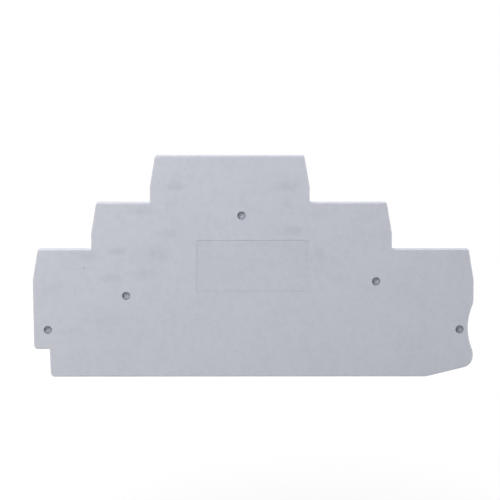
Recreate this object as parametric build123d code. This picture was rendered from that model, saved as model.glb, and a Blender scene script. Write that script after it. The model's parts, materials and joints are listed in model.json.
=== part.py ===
"""Three-level terminal block end cover: one thin moulded plate with five press pins on its back.

X runs along the cover from its middle, Z stands up from its bottom edge, and the seat face, in which
the rim, the ribs and the pads end, lies in the plane Y = 0. The front looks towards -Y. Millimetres.
"""

import os
from math import acos, atan2, sin, tan

from build123d import *

# The plate
length = 99.5
height = 50.4
thickness = 2.2
web = 1.5
rim_width = 1.2
edge_radius = 0.3

# The levels, from the widest at the bottom to the narrowest at the top
level_count = 3
lowest_top = 29.2
left_setback = 13.25
right_setback = 18.55

# Each level's side leans in below its top edge
flank_height = 7.0
flank_lean = 1.2

# The foot at the lower left steps up from the bottom edge
foot_width = 3.7
foot_height = 6.4
foot_draft = 0.15

# The lower right corner slants up from the bottom edge, below a shallow notch in the side
slant_run = 10.6
slant_rise = 2.6
notch_radius = 13.3
notch_depth = 1.2
nose_flat = 0.4

# Corner radii of the outline
top_corner = 0.6
step_corner = 0.3
flank_corner = 1.0
foot_corner = 0.9
end_corner = 2.7
notch_corner = 3.5

# The ribs carry each upper level's sides and each lower level's top edge on across the back
rib_width = 0.8
pocket_corner = 0.4

# Round marks that the ejectors leave in the back
ejector_diameter = 3.2
ejector_depth = 0.1
ejector_drop = 6.0

# The press pins, and the round pads that they stand on
pin_diameter = 3.0
pin_length = 2.6
pin_lead_in = 0.4
pad_diameter = 5.6

# The dimples that core the pins from the front
dimple_mouth = 1.9
dimple_floor = 1.6
dimple_depth = 1.2

# Where the pins stand: two by the ends, three by the middle
foot_pin_inset = 3.3
foot_pin_z = 10.8
notch_pin_wall = 0.4
notch_pin_z = 10.9
left_pin_x, left_pin_z = -28.7, 18.6
right_pin_x, right_pin_z = 27.7, 21.9
top_pin_x, top_pin_z = -2.65, 36.9

# The shallow blank panel in the front, with its walls' slope in degrees
panel_width = 25.5
panel_height = 11.7
panel_depth = 0.15
panel_slope = 45
panel_corner = 0.4
panel_x, panel_z = -0.1, 25.5

half = length / 2
level_rise = (height - lowest_top) / (level_count - 1)
pins = {
    "foot": (foot_pin_inset - half, foot_pin_z),
    "left": (left_pin_x, left_pin_z),
    "top": (top_pin_x, top_pin_z),
    "right": (right_pin_x, right_pin_z),
    "notch": (half - notch_depth - notch_pin_wall - pin_diameter / 2, notch_pin_z),
}

# The side turns by these angles at the end corner and at each end of the notch
end_turn = atan2(slant_run, slant_rise)
notch_turn = acos(1 - notch_depth / notch_radius)

# The notch begins above the end corner, a short flat and the notch's own rounded end
notch_reach = notch_radius * sin(notch_turn)
notch_low = slant_rise + end_corner * tan(end_turn / 2) + nose_flat + notch_corner * tan(notch_turn / 2)
notch_z = notch_low + notch_reach


def level_top(level):
    """Height of a level's top edge, counted from 0 at the bottom."""
    return lowest_top + level * level_rise


def wall_x(level, side):
    """Place of a level's upright side: side is -1 on the left and 1 on the right."""
    setback = left_setback if side < 0 else right_setback
    return side * (half - level * setback)


def stepped_side(side):
    """Corners of the stepped side, going up, each with its radius."""
    corners = []
    for level in range(level_count):
        wall, top = wall_x(level, side), level_top(level)
        if level > 0:
            corners.append((wall, level_top(level - 1), step_corner))
        corners.append((wall, top - flank_height, flank_corner))
        corners.append((wall - side * flank_lean, top, top_corner))
    return corners


def plate_corners():
    """Corners of the plate with their radii: the foot, up the left, down the right, then the slant."""
    foot_x = foot_width - half
    return [
        (foot_x + foot_draft, 0, foot_corner),
        (foot_x, foot_height, step_corner),
        (foot_draft - half, foot_height, foot_corner),
        *stepped_side(-1),
        *reversed(stepped_side(1)),
        (half, slant_rise, end_corner),
        (half - slant_run, 0, end_corner),
    ]


def notch(grown=0.0):
    """The disc that cuts the notch, made larger for the pocket behind it."""
    return Pos(half - notch_depth + notch_radius, notch_z) * Circle(notch_radius + grown)


def outline():
    """The cover's outline, with every corner rounded."""
    corners = plate_corners()
    border = FilletPolyline(
        *[(x, z) for x, z, radius in corners],
        radius=[radius for x, z, radius in corners],
        close=True,
    )
    notched = make_face(border) - notch()
    mouth = [Vector(half, notch_low), Vector(half, notch_z + notch_reach)]
    tips = [min(notched.vertices(), key=lambda v: (Vector(v) - tip).length) for tip in mouth]
    return fillet(tips, notch_corner)


def rib_grid():
    """Ribs that carry the rim on across the back: two uprights and a bar for each upper level."""
    ribs = Sketch()
    into_rim = rim_width - rib_width / 2
    for level in range(1, level_count):
        bar_z = level_top(level - 1) - into_rim
        left = wall_x(level, -1) + into_rim
        right = wall_x(level, 1) - into_rim
        ribs += Pos((left + right) / 2, bar_z) * Rectangle(right - left + rib_width, rib_width)
        for upright_x in (left, right):
            ribs += Pos(upright_x, bar_z / 2) * Rectangle(rib_width, bar_z)
    return ribs


def back_pockets():
    """What is hollowed out of the back: all inside the rim, apart from the ribs and the pads."""
    sharp_plate = make_face(Polyline(*[(x, z) for x, z, radius in plate_corners()], close=True))
    hollow = offset(sharp_plate, -rim_width, kind=Kind.INTERSECTION) - notch(rim_width) - rib_grid()
    hollow = fillet(hollow.vertices(), pocket_corner)
    pads = [Pos(x, z) * Circle(pad_diameter / 2) for x, z in pins.values()]
    return hollow - pads


def ejector_marks():
    """Marks in the open pockets: one beside each upper level, one in the top level, one low down."""
    middle = (wall_x(level_count - 1, -1) + wall_x(level_count - 1, 1)) / 2
    places = [(middle, lowest_top / 2), (middle, level_top(level_count - 1) - ejector_drop)]
    for side in (-1, 1):
        for level in range(level_count - 1):
            beside = (wall_x(level, side) + wall_x(level + 1, side)) / 2
            places.append((beside, level_top(level) - ejector_drop))
    return [Pos(x, z) * Circle(ejector_diameter / 2) for x, z in places]


def press_pin():
    """One press pin, standing along +Z on its pad, with a chamfered tip."""
    pin = extrude(Circle(pin_diameter / 2), pin_length)
    return chamfer(pin.faces().sort_by(Axis.Z)[-1].edges(), pin_lead_in)


def dimple():
    """The tapered core of one pin, going along -Z from its mouth."""
    core = Cone(dimple_floor / 2, dimple_mouth / 2, dimple_depth)
    return Pos(0, 0, -dimple_depth / 2) * core


def end_cover():
    """The whole moulding."""
    cover = extrude(Plane.XZ * outline(), thickness)
    front_edges = cover.faces().sort_by(Axis.Y)[0].edges()
    cover = fillet(front_edges, edge_radius)
    pocket_depth = thickness - web
    cover -= extrude(Plane.XZ * back_pockets(), pocket_depth)
    for mark in ejector_marks():
        cover -= extrude(Plane.XZ * mark, pocket_depth + ejector_depth)

    front = Plane((0, -thickness, 0), x_dir=(1, 0, 0), z_dir=(0, -1, 0))
    seat = Plane((0, 0, 0), x_dir=(-1, 0, 0), z_dir=(0, 1, 0))
    panel = RectangleRounded(panel_width, panel_height, panel_corner)
    cover -= extrude(front * Pos(panel_x, panel_z) * panel, -panel_depth, taper=panel_slope)
    for x, z in pins.values():
        cover += seat * Pos(-x, z) * press_pin()
        cover -= front * Pos(x, z) * dimple()
    return cover


cover = end_cover()
cover.label = "end_cover"
cover.color = Color(0.74, 0.76, 0.80)

os.makedirs("parts", exist_ok=True)
export_step(cover, "parts/end_cover.step")
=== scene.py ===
"""A terminal block end cover with three levels, finished and lit.

Metres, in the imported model's frame: X runs along the cover from its middle, Z stands up from its
bottom edge, and the plain front looks towards -Y, with the press pins behind it.
"""

import json
from math import radians

import bpy
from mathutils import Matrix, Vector


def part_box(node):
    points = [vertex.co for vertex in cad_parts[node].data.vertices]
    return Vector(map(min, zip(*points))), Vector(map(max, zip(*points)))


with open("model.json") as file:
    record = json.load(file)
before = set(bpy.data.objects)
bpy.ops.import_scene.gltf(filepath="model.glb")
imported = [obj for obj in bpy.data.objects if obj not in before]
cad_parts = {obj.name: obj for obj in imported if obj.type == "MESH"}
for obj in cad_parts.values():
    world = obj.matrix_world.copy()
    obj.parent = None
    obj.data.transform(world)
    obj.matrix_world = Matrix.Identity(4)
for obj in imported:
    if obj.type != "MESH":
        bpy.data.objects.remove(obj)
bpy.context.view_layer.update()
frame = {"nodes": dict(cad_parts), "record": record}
bpy.ops.object.select_all(action="DESELECT")

# The end cover is one thin injection moulding of pale blue-grey polyamide, with its press pins
# moulded on. The steel of the tool was spark eroded, which leaves a fine satin grain. The resin sets
# unevenly over the ribs and leaves shallow waves in the front, and the shading of its slight sinks
# there is painted into its colour as faint soft shades.
MM = 0.001
cover = frame["nodes"]["end_cover"]
front_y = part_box("end_cover")[0].y / MM

resin_colour = (0.530, 0.549, 0.610, 1)
# The darker tone of the uneven resin, which is also the colour of the painted shades
darker_tone_and_shade_colour = (0.440, 0.462, 0.522, 1)
resin_ior = 1.5

# The resin is uneven all over, as mottle, clouds and speckle. Each has its size in millimetres, its
# detail, its distortion, and the least and the most shade that it adds.
resin_patterns = [
    (11.0, 3, 0.6, 0.00, 0.22),
    (1.4, 5, 0.0, -0.18, 0.18),
    (0.4, 2, 0.0, -0.18, 0.18),
]
noise_span = (0.3, 0.7)

# The eroded grain tints the resin a little, and its lustre differs from place to place. Sizes and
# heights are in millimetres, and so are those of the shallow waves beneath.
grain_size = 0.16
grain_detail = 2
grain_shade = 0.05
grain_height = 0.006
lustre_size = 2.2
lustre_detail = 4
lustre_roughness = (0.44, 0.54)
wave_size = 9.0
wave_detail = 1
wave_height = 0.02

# Each painted soft shade in the front stands in for the shading of a slight sink over a rib. It has
# its middle in X and Z, its half width and its half height, all in millimetres, and its strength. Its
# edge wanders sideways, and it fades out between two depths.
painted_front_shades = [
    (-17.4, 43.6, 3.4, 1.6, 0.65),
    (-18.3, 39.6, 2.8, 1.2, 0.25),
    (-25.2, 38.0, 5.4, 1.4, 0.45),
    (-30.3, 35.9, 1.2, 3.4, 0.25),
    (-19.1, 33.0, 4.4, 1.6, 0.45),
    (-30.6, 28.9, 2.8, 1.4, 0.85),
    (-37.7, 27.6, 4.2, 1.4, 0.40),
    (-22.1, 28.0, 6.0, 3.2, 0.45),
    (-32.1, 22.6, 3.8, 1.7, 0.50),
    (-24.7, 23.5, 3.8, 2.4, 0.40),
    (-38.4, 12.9, 2.2, 1.6, 0.30),
    (-41.1, 10.6, 4.2, 1.9, 0.25),
    (-33.9, 12.9, 8.0, 5.0, 0.20),
    (7.5, 43.6, 4.8, 2.0, 0.60),
    (7.5, 39.6, 2.4, 1.2, 0.35),
    (8.4, 33.5, 4.4, 1.7, 0.60),
    (14.5, 28.0, 4.4, 2.6, 0.35),
    (15.1, 37.5, 5.0, 1.6, 0.25),
    (19.4, 22.8, 2.9, 1.2, 0.20),
]
wander_size = 3.0
wander_detail = 2
wander_reach = 1.2
shade_fade = (0.2, 0.4)

# The cores of the pins open in the front as dimples. A painted shade darkens their walls, and their
# floors less so, and it comes in between two depths just below the front.
pins = [mount for mount in frame["record"]["mounts"] if mount["kind"] == "pin"]
core_painted_shade_colour = (0.398, 0.412, 0.458, 1)
core_radius = 1.0
core_wall_radius = 0.85
core_floor_radius = 0.5
core_floor_shade = 0.15
core_fade = (0.02, 0.12)

# An insert in the tool forms the blank panel. A painted shade marks a faint line along the border of
# its small step, and its face is tinted darker towards its top. The panel's middle and half size are
# in millimetres, and the strengths are at its bottom and at its top.
panel_place = (-0.1, 0, 25.5)
panel_half_width = 12.75
panel_half_height = 5.85
line_spread = 0.25
line_strengths = (0.55, 0.08)
face_strengths = (0.05, 0.20)

# One dark speck of burnt resin lies in the front
speck_colour = (0.250, 0.255, 0.280, 1)
speck_place = (-38.1, 25.1)
speck_radius = 0.40
speck_strength = 0.60


def add_node(tree, kind, inputs=(), **settings):
    """Adds a node, sets its properties, and gives each named input its value or its link."""
    node = tree.nodes.new(kind)
    for name, value in settings.items():
        setattr(node, name, value)
    for name, value in dict(inputs).items():
        if isinstance(value, bpy.types.NodeSocket):
            tree.links.new(value, node.inputs[name])
        else:
            node.inputs[name].default_value = value
    return node


def maths(tree, operation, first, second=0.0):
    """What a Math node gives for one number or two."""
    return add_node(tree, "ShaderNodeMath", {0: first, 1: second}, operation=operation).outputs[0]


def vectors(tree, operation, first, second=(0, 0, 0)):
    """What a Vector Math node gives for one vector or two: a number for a length or a distance."""
    result = "Value" if operation in ("LENGTH", "DISTANCE") else "Vector"
    return add_node(
        tree, "ShaderNodeVectorMath", {0: first, 1: second}, operation=operation
    ).outputs[result]


def mapped(tree, value, start, end, first, last, **settings):
    """Goes from first to last while the value goes from start to end, and stays within them."""
    ends = {"From Min": start, "From Max": end, "To Min": first, "To Max": last}
    return add_node(tree, "ShaderNodeMapRange", {"Value": value, **ends}, **settings).outputs[0]


def blended(tree, amount, colour, other_colour):
    """Goes from one colour to the other while the amount goes from 0 to 1."""
    inputs = {"Factor": amount, "A": colour, "B": other_colour}
    return add_node(tree, "ShaderNodeMix", inputs, data_type="RGBA").outputs["Result"]


def sum_of(tree, values):
    """Adds up several values."""
    total = values[0]
    for value in values[1:]:
        total = maths(tree, "ADD", total, value)
    return total


def noise(tree, millimetres, size, detail, distortion=0.0):
    """Noise with features of about the given size in millimetres."""
    inputs = {"Vector": millimetres, "Scale": 1 / size, "Detail": detail, "Distortion": distortion}
    return add_node(tree, "ShaderNodeTexNoise", inputs).outputs[0]


def ranged(tree, value, lowest, highest):
    """Spreads noise, nearly all of which lies in noise_span, between two values."""
    return mapped(tree, value, *noise_span, lowest, highest)


def raised(tree, height, rise, **beneath):
    """The normals of bumps that rise by so many millimetres, on top of any bumps beneath."""
    inputs = {"Height": height, "Distance": rise * MM, "Strength": 1.0, **beneath}
    return add_node(tree, "ShaderNodeBump", inputs).outputs[0]


def spot(tree, millimetres, x, z, half_width, half_height, strength):
    """A soft oval on the front: the given strength at its middle, nothing at its rim."""
    place = {"Location": (-x / half_width, 0, -z / half_height)}
    size = {"Scale": (1 / half_width, 0, 1 / half_height)}
    in_oval = add_node(tree, "ShaderNodeMapping", {"Vector": millimetres, **place, **size}).outputs[0]
    away = vectors(tree, "LENGTH", in_oval)
    return mapped(tree, away, 0, 1, strength, 0, interpolation_type="SMOOTHSTEP")


def painted_core_shade(tree, millimetres, x, y, z):
    """Painted shade in one pin's core: most at its wall, less at its floor, nothing outside it."""
    away = vectors(tree, "SUBTRACT", millimetres, (x / MM, y / MM, z / MM))
    radius = vectors(tree, "LENGTH", vectors(tree, "MULTIPLY", away, (1, 0, 1)))
    shade = mapped(tree, radius, core_floor_radius, core_wall_radius, core_floor_shade, 1)
    return maths(tree, "MULTIPLY", shade, maths(tree, "LESS_THAN", radius, core_radius))


def panel_painted_shade(tree, millimetres):
    """Painted shade on the panel: a soft line along its border, and a face tint that clears
    downwards.
    """
    half_size = (panel_half_width, 0, panel_half_height)
    away = vectors(tree, "SUBTRACT", millimetres, panel_place)
    height = add_node(tree, "ShaderNodeSeparateXYZ", {"Vector": away}).outputs["Z"]
    past_border = vectors(tree, "SUBTRACT", vectors(tree, "ABSOLUTE", away), half_size)
    past_border = add_node(tree, "ShaderNodeSeparateXYZ", {"Vector": past_border}).outputs
    outside = maths(tree, "MAXIMUM", past_border["X"], past_border["Z"])
    on_face = maths(tree, "LESS_THAN", outside, 0)
    on_line = mapped(tree, maths(tree, "ABSOLUTE", outside), 0, line_spread, 1, 0)
    painted_shades = []
    for mask, (lowest, highest) in ((on_line, line_strengths), (on_face, face_strengths)):
        strength = mapped(tree, height, -panel_half_height, panel_half_height, lowest, highest)
        painted_shades.append(maths(tree, "MULTIPLY", mask, strength))
    return sum_of(tree, painted_shades)


def moulded_polyamide():
    """The cover's own material: uneven resin, painted shades in the front and cores, one speck,
    grain.
    """
    material = bpy.data.materials.new("moulded_polyamide")
    material.use_nodes = True
    tree = material.node_tree
    shader = tree.nodes["Principled BSDF"]
    shader.inputs["IOR"].default_value = resin_ior
    place = add_node(tree, "ShaderNodeTexCoord").outputs["Object"]
    scale = {"Scale": (1 / MM, 1 / MM, 1 / MM)}
    millimetres = add_node(tree, "ShaderNodeMapping", {"Vector": place, **scale}).outputs[0]

    # The painted shades and the speck keep to the front, and the cores' painted shade to what lies
    # between it and the seat
    depth = add_node(tree, "ShaderNodeSeparateXYZ", {"Vector": millimetres}).outputs["Y"]
    on_front = mapped(tree, depth, front_y + shade_fade[0], front_y + shade_fade[1], 1, 0)
    below_front = mapped(tree, depth, front_y + core_fade[0], front_y + core_fade[1], 0, 1)
    in_plate = maths(tree, "MULTIPLY", below_front, maths(tree, "LESS_THAN", depth, 0))

    wander = noise(tree, millimetres, wander_size, wander_detail)
    wander = ranged(tree, wander, -wander_reach, wander_reach)
    sideways = add_node(tree, "ShaderNodeCombineXYZ", {"X": wander}).outputs[0]
    wavy = vectors(tree, "ADD", millimetres, sideways)
    # Painted soft shades where the front sinks over the ribs, and painted shade on the panel
    painted_shades = [spot(tree, wavy, *shade) for shade in painted_front_shades]
    painted_shades = sum_of(tree, [*painted_shades, panel_painted_shade(tree, millimetres)])
    painted_shades = maths(tree, "MULTIPLY", painted_shades, on_front)

    patches = []
    for size, detail, distortion, least, most in resin_patterns:
        pattern = noise(tree, millimetres, size, detail, distortion)
        patches.append(ranged(tree, pattern, least, most))
    grain = noise(tree, millimetres, grain_size, grain_detail)
    patches.append(ranged(tree, grain, -grain_shade, grain_shade))
    resin = blended(tree, sum_of(tree, [*patches, painted_shades]), resin_colour, darker_tone_and_shade_colour)

    # Painted shade in the dimpled cores of the pins
    painted_cores = sum_of(tree, [painted_core_shade(tree, millimetres, *pin["pos_m"]) for pin in pins])
    painted_cores = maths(tree, "MULTIPLY", painted_cores, in_plate)
    speck = spot(tree, millimetres, *speck_place, speck_radius, speck_radius, speck_strength)
    speck = maths(tree, "MULTIPLY", speck, on_front)
    colour = blended(tree, speck, blended(tree, painted_cores, resin, core_painted_shade_colour), speck_colour)
    tree.links.new(colour, shader.inputs["Base Color"])

    lustre = noise(tree, millimetres, lustre_size, lustre_detail)
    tree.links.new(ranged(tree, lustre, *lustre_roughness), shader.inputs["Roughness"])
    waves = raised(tree, noise(tree, millimetres, wave_size, wave_detail), wave_height)
    tree.links.new(raised(tree, grain, grain_height, Normal=waves), shader.inputs["Normal"])
    return material


cover.material_slots[0].material = moulded_polyamide()

# The floor is a wide sheet of matt paper, well below the cover, which is held up by its seat. Seen
# straight the paper is lifted to white, and it takes the cover's soft shadow.
floor_drop = 0.06
floor_side = 6.0
paper_grey = 0.5
paper_lift = 0.58

# Near the cover the lamps light the paper more, so there it is lifted less, and the shadow shows
lamp_middle = (0, -0.08, -floor_drop)
lamp_reach = 0.42
lamp_share = 0.23


def seen_straight(tree):
    """1 for what the camera sees directly, in a gloss or through something, and otherwise 0."""
    rays = add_node(tree, "ShaderNodeLightPath").outputs
    either = maths(tree, "MAXIMUM", rays["Is Camera Ray"], rays["Is Glossy Ray"])
    return maths(tree, "MAXIMUM", either, rays["Is Transmission Ray"])


def white_paper():
    """Paper that throws a soft grey light up and is lifted to white where it is seen straight."""
    material = bpy.data.materials.new("white_paper")
    material.use_nodes = True
    tree = material.node_tree
    shader = tree.nodes["Principled BSDF"]
    shader.inputs["Base Color"].default_value = (paper_grey, paper_grey, paper_grey, 1)
    shader.inputs["Roughness"].default_value = 1
    shader.inputs["Specular IOR Level"].default_value = 0
    shader.inputs["Emission Color"].default_value = (1, 1, 1, 1)
    place = add_node(tree, "ShaderNodeTexCoord").outputs["Object"]
    away = vectors(tree, "DISTANCE", place, lamp_middle)
    lift = mapped(tree, away, 0, lamp_reach, paper_lift - lamp_share, paper_lift)
    lift = maths(tree, "MULTIPLY", seen_straight(tree), lift)
    tree.links.new(lift, shader.inputs["Emission Strength"])
    return material


bpy.ops.mesh.primitive_plane_add(size=floor_side, location=(0, 0, 0))
floor = bpy.context.object
floor.name = "floor"
bpy.ops.object.mode_set(mode="EDIT")
bpy.ops.transform.translate(value=(0, 0, -floor_drop))
bpy.ops.object.mode_set(mode="OBJECT")
floor.data.materials.append(white_paper())

# The room is plain white. It gives a soft even light from all round, and where it is seen straight
# it is as white as the paper.
room_light = 0.3
world = bpy.data.worlds.new("white_room")
bpy.context.scene.world = world
world.use_nodes = True
room = world.node_tree
soft = room.nodes["Background"]
soft.inputs["Color"].default_value = (1, 1, 1, 1)
soft.inputs["Strength"].default_value = room_light
white = add_node(room, "ShaderNodeBackground", {"Color": (1, 1, 1, 1), "Strength": 1.0})
blend = add_node(room, "ShaderNodeMixShader", {"Fac": seen_straight(room)})
room.links.new(soft.outputs[0], blend.inputs[1])
room.links.new(white.outputs[0], blend.inputs[2])
room.links.new(blend.outputs[0], room.nodes["World Output"].inputs["Surface"])

# A wide lamp stands overhead, a little behind the cover, and brightens the level tops.
overhead_place = (-0.1, 0.25, 0.5)
overhead_energy = 2.03
overhead_spread = 30
bpy.ops.object.light_add(type="SUN", location=overhead_place)
overhead = bpy.context.object
overhead.name = "overhead"
overhead.data.energy = overhead_energy
overhead.data.angle = radians(overhead_spread)
overhead.rotation_euler = overhead.location.to_track_quat("Z", "Y").to_euler()

# Three soft boxes are turned to the cover's middle. The first is at the upper left in front, and
# makes that end the brightest. The weaker two stand by the ends and brighten the upright sides. The
# left one of them is a little warmer, and tints that end.
cover_middle = Vector((0, 0, 0.025))
soft_boxes = [
    ("soft_box", (-0.072, -0.222, 0.179), 0.10, 0.42, (1.0, 1.0, 1.0)),
    ("end_box_left", (-0.16, -0.03, 0.05), 0.08, 0.06, (1.0, 0.87, 0.81)),
    ("end_box_right", (0.32, -0.01, 0.05), 0.12, 0.40, (1.0, 1.0, 1.0)),
]
for name, place, side, energy, tint in soft_boxes:
    bpy.ops.object.light_add(type="AREA", location=place)
    soft_box = bpy.context.object
    soft_box.name = name
    soft_box.data.shape = "SQUARE"
    soft_box.data.size = side
    soft_box.data.energy = energy
    soft_box.data.color = tint
    soft_box.visible_camera = False
    aim = soft_box.location - cover_middle
    soft_box.rotation_euler = aim.to_track_quat("Z", "Y").to_euler()

# The camera looks down nine degrees through a long lens, from a little left of the cover's middle.
# The focal length is given in pixels of a picture that is 500 pixels wide.
picture_side = 500
focal_pixels = 2700
sensor_side = 36
camera_place = (-0.00283, -0.6023, 0.1244)
camera_pitch = 9.024
camera_turn = -0.199
bpy.ops.object.camera_add(location=camera_place)
camera = bpy.context.object
camera.name = "camera"
camera.data.sensor_width = sensor_side
camera.data.lens = focal_pixels / picture_side * sensor_side
camera.rotation_euler = (radians(90 - camera_pitch), 0, radians(camera_turn))
bpy.context.scene.camera = camera

bpy.context.scene.view_settings.view_transform = "Standard"
